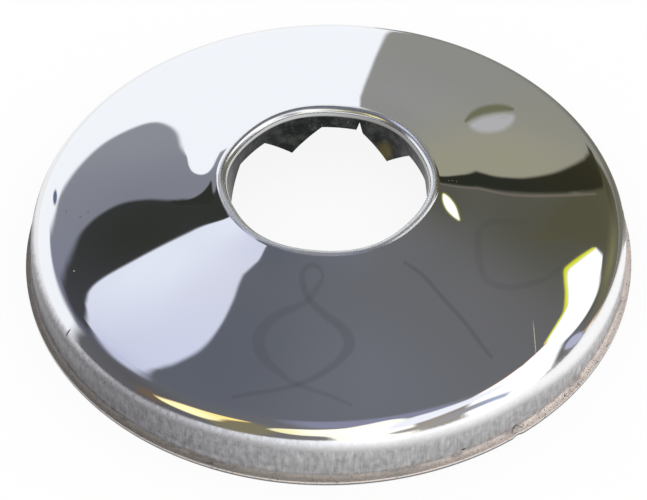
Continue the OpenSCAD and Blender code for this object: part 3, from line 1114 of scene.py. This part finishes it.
# %% [markdown]
# Windows and lamps give the chrome its sparkle, mostly on the round shoulder. Their white is a
# little above 255, so that it is still full white where hazy plating takes some of it away.
# %% The window
WHITE = (262, 262, 262)
card("window",
     [(27.4, 19.6), (27.7, 16.6), (28, 14), (27.9, 11.2), (27.5, 8.6), (27.4, 7.3), (27.6, 6.3),
      (28.3, 4.6), (29.6, 1.4), (30.6, 1.3, 0.8), (34, 2.6, 1.6), (40, 4.4, 3), (48, 5.2, 4), (54, 7, 5),
      (58, 12, 5), (59, 19, 5), (56, 27, 5), (50, 31, 4), (44, 33, 4), (37, 32, 3), (30.4, 29, 1),
      (28.2, 23.6)], WHITE, 0.5)
card("window_high",
     [(31.5, 39, 1.5), (31, 35, 1), (30, 30, 1), (34, 28, 3), (42, 28, 4), (50, 27, 5), (58, 26, 5),
      (70, 28, 5), (82, 27, 5), (96, 25, 5), (108, 44, 5), (104, 62, 5), (92, 74, 5), (74, 76, 5),
      (62, 74, 5), (52, 68, 5), (44, 61, 4), (37, 54, 4), (32, 47, 3)], WHITE, 4.0)
card("window_top",
     [(13, 56, 3), (9, 63, 3), (4, 71, 3), (-4, 74.5, 3), (-12, 75.5, 3), (-20, 78, 3), (-24, 83, 4),
      (-21, 90, 4), (-14, 95, 4), (-2, 99, 5), (6, 116, 5), (30, 120, 5), (58, 108, 5), (52, 98, 5),
      (40, 88, 4), (30, 77, 3), (23, 67, 3), (18, 59, 3)],
     [((14, 84), WHITE), ((-4, 84), (262, 262, 250)), ((-20, 84), (250, 240, 178))], 4.0)

# %% [markdown]
# A lens splits light a little at the edge of what is very bright. The window has a yellow-green
# fringe, laid on as a cord, which turns orange at the window's foot, and the lamp has an orange
# rim. Between them a brown wedge and a pale band break up the white.
# %% The lamp and the window's fringe
card("brown_wedge",
     [(31, 98), (38, 87.6), (43, 77.8), (47, 69), (51.8, 62), (61.4, 57.4), (75, 53), (79, 56), (70, 61.4),
      (61.4, 71.5), (59.2, 83), (52.4, 92.6), (40.4, 99.8)],
     [((46, 86), (156, 150, 140)), ((52, 72), (150, 148, 150)), ((66, 60), (166, 174, 202))], 5.0)
card("pale_band",
     [(20, 62), (25, 55), (31, 50), (38, 45), (45, 46), (43, 56), (39, 66), (35, 76), (29, 84), (22, 82)],
     (240, 242, 250), 5.0)
card("warm_lamp",
     [(-24, 68, 3), (-36, 72, 4), (-46, 77, 5), (-56, 76, 5), (-64, 68, 5), (-68, 58, 5), (-64, 54, 5),
      (-56, 56, 4), (-46, 58, 4), (-36, 62, 3)],
     [((-50, 66), (262, 255, 200)), ((-34, 68), (255, 236, 150))], 5.0, rim=(196, 120, 52))
cord("window_edge",
     [(27.2, 20.4, 0.3), (27.6, 16.6, 0.35), (27.9, 13.9, 0.35), (27.8, 11, 0.35), (27.4, 8.4, 0.35),
      (27.3, 7, 0.4), (27.7, 5.8, 0.4), (28.6, 3.7, 0.4), (29.7, 1.2, 0.3)],
     (228, 232, 20), 0.85, blur=0.3)
cord("window_foot",
     [(27.2, 20, 0.3), (28, 23.6, 0.5), (29.2, 28, 0.7), (30.2, 32.5, 0.8), (31, 37, 0.8),
      (31.6, 42, 0.7), (33, 48, 0.3)],
     (238, 176, 120), 0.7, blur=0.4)

# %% [markdown]
# Next come the small near things, in the picture's own points. A white patch and a dark hook
# turn the tongue and the flag upwards beside the hole, where the pressed lip pulls them up. The
# neck is hollow, so a near card has to hang closer than its focus, or it would fold over.
# %% Near patches beside the hole
NEAR = 12 * MM
WHITE_BAY = [(184, 148), (187, 157), (189, 166), (193, 172), (200, 174.6), (207, 173), (212.5, 167),
             (217, 158), (222, 149), (227, 142), (216, 143), (205, 147), (196, 148), (189, 145)]
card("white_bay", WHITE_BAY, (240, 243, 249), 2.0, reach=NEAR)
DARK_HOOK = [(172, 201), (184, 200.6), (194, 197.5), (202, 192.5), (207.5, 186.5), (211, 181),
             (212, 184), (212.5, 190), (213.5, 202), (204, 204), (190, 204.5), (176, 204.5)]
card("dark_hook", DARK_HOOK, (45, 47, 42), 2.0, reach=NEAR)

# %% [markdown]
# A bright spot with a dark olive edge lies over the olive card, out of focus, and a sharp glint
# of the window beside the lip. The glint's green edge is the same outline with a wider fade.
# %% The bright spot and the glint
SPOT_EDGE = [(465, 122, 2), (472, 115.5, 6), (482, 110.8, 8), (495, 108.3, 8), (506, 108.3, 6),
             (514, 109.5, 2)]
cord("spot_edge", SPOT_EDGE, (94, 97, 66), 0.8, blur=5.0, reach=NEAR)
BRIGHT_SPOT = [(470, 125), (479, 119), (491, 115.5), (504, 114), (514, 116), (511, 124), (502, 130),
               (489, 132.5), (477, 131)]
card("bright_spot", BRIGHT_SPOT, (180, 180, 184), 7.0, strength=0.8, reach=NEAR)
GLINT = [(443, 194), (447, 195.5), (451.5, 200), (455.5, 206), (458, 213), (459.5, 220), (456, 218.5),
         (450.5, 214), (446, 208.5), (443, 201)]
card("glint_edge", GLINT, (206, 208, 84), 4.5, reach=NEAR)
card("glint", GLINT, WHITE, 1.4, rim=(214, 214, 60), reach=NEAR * 0.95)

# %% [markdown]
# The grey wall isn't empty. A cable hangs in loops before it, out of focus and barely darker
# than the wall. A plain grey field would look painted, and these lines make it look mirrored.
# %% The cable's loops
CABLE = (66, 66, 70)
LEFT_LOOP = [(322.8, 275, 1), (320.5, 269, 4), (314.5, 265, 5), (306.5, 266.5, 5), (302, 275, 5),
             (303.5, 286, 6), (309, 299, 6), (322.5, 312.5, 7), (340, 326, 9), (348.5, 338, 11),
             (349, 346, 11), (344, 355, 9), (333.8, 365, 7), (317.5, 376, 6), (300, 383.8, 5),
             (277.5, 389.5, 4), (252, 393.5, 4), (232, 397.5, 3)]
cord("cable_left", LEFT_LOOP, CABLE, 0.24, blur=4.0, reach=NEAR)
RIGHT_LOOP = [(322.5, 273, 1), (322.2, 279, 4), (317.5, 287.5, 6), (309, 299, 6), (297.5, 306, 7),
              (277.5, 315, 9), (264, 327, 11), (258.5, 340, 13), (261, 352, 12), (268, 363, 9),
              (278.5, 372, 7), (290, 381, 5), (307.5, 388, 4), (327.5, 395, 4), (352, 405, 3)]
cord("cable_right", RIGHT_LOOP, CABLE, 0.2, blur=4.0, reach=NEAR)
STRAIGHT_PART = [(404, 262, 3), (422.5, 275, 4), (442.5, 297.5, 4), (465, 322.5, 4), (480, 342.5, 4),
                 (492, 358, 3)]
cord("cable_far", STRAIGHT_PART, CABLE, 0.3, blur=3.0, reach=NEAR)
OPEN_RING = [(528, 223, 3), (510, 221, 5), (492, 222, 6), (480, 230, 7), (478, 246, 7), (480, 265, 7),
             (486, 279, 6), (497, 285.5, 6), (512.5, 287, 6), (530, 283.8, 6), (547.5, 277.5, 5),
             (560, 268, 4)]
cord("cable_ring", OPEN_RING, CABLE, 0.17, blur=4.0, reach=NEAR)
print(f"{len(cards)} cards and cords hang round the flange")

# %% [markdown]
# The room is white. A mirror sees the same white, slightly grey-blue, where no card hangs. The
# light is even and has no lamp of its own, as in a tent of white cloth.
# %% The white room
MIRRORED_ROOM = linear((240, 243, 248))
world = bpy.data.worlds.new("studio")
world.use_nodes = True
bpy.context.scene.world = world
world.node_tree.nodes.clear()
sky = Tree(world.node_tree)
in_mirror = Wire(sky, sky.node("ShaderNodeLightPath").outputs["Is Glossy Ray"])
white_in_mirror = (*[c / PLATE_MIRRORS for c in MIRRORED_ROOM], 1)
room_white = sky.blend(in_mirror, (1, 1, 1, 1), white_in_mirror)
room_light = sky.wire("ShaderNodeBackground", (), {0: room_white, 1: 1.0})
sky.node("ShaderNodeOutputWorld", (), {0: room_light})
bpy.context.scene.view_settings.view_transform = "Standard"
print("the mirrored room is", [round(part, 2) for part in MIRRORED_ROOM], "of white")

# %% [markdown]
# The table is a plain pale sheet that runs out of the picture. Where the camera, a mirror or
# glass looks at it, it mostly glows, and keeps a tenth of its own shading, so the flange still
# sits in a faint shadow. From below it is clear, so that the flange's back can be looked at.
# %% The table
TABLE_HALF = 6.0
TABLE_GLOW = 0.9
table_mesh = bpy.data.meshes.new("table")
corners = [(-TABLE_HALF, -TABLE_HALF, 0), (TABLE_HALF, -TABLE_HALF, 0),
           (TABLE_HALF, TABLE_HALF, 0), (-TABLE_HALF, TABLE_HALF, 0)]
table_mesh.from_pydata(corners, [], [(0, 1, 2, 3)])
table = bpy.data.objects.new("table", table_mesh)
bpy.context.scene.collection.objects.link(table)
table_paint, ground = new_material("table_paint")
rays = ground.node("ShaderNodeLightPath")
looks = [Wire(ground, rays.outputs[f"Is {kind} Ray"]) for kind in ("Camera", "Glossy", "Transmission")]
seen = sum(looks)
matt = ground.wire("ShaderNodeBsdfDiffuse", (), {"Color": (0.97, 0.97, 0.97, 1)})
lit = ground.wire("ShaderNodeEmission", (), {"Color": (1, 1, 1, 1), "Strength": 1.0})
top = ground.wire("ShaderNodeMixShader", (), {0: seen * TABLE_GLOW, 1: matt, 2: lit})
clear = ground.wire("ShaderNodeBsdfTransparent")
from_below = Wire(ground, ground.node("ShaderNodeNewGeometry").outputs["Backfacing"])
one_sided = ground.wire("ShaderNodeMixShader", (), {0: from_below, 1: top, 2: clear})
ground.node("ShaderNodeOutputMaterial", (), {"Surface": one_sided})
table_mesh.materials.append(table_paint)
print(f"the table is {2 * TABLE_HALF:.0f} m wide and glows {TABLE_GLOW:.0%}")
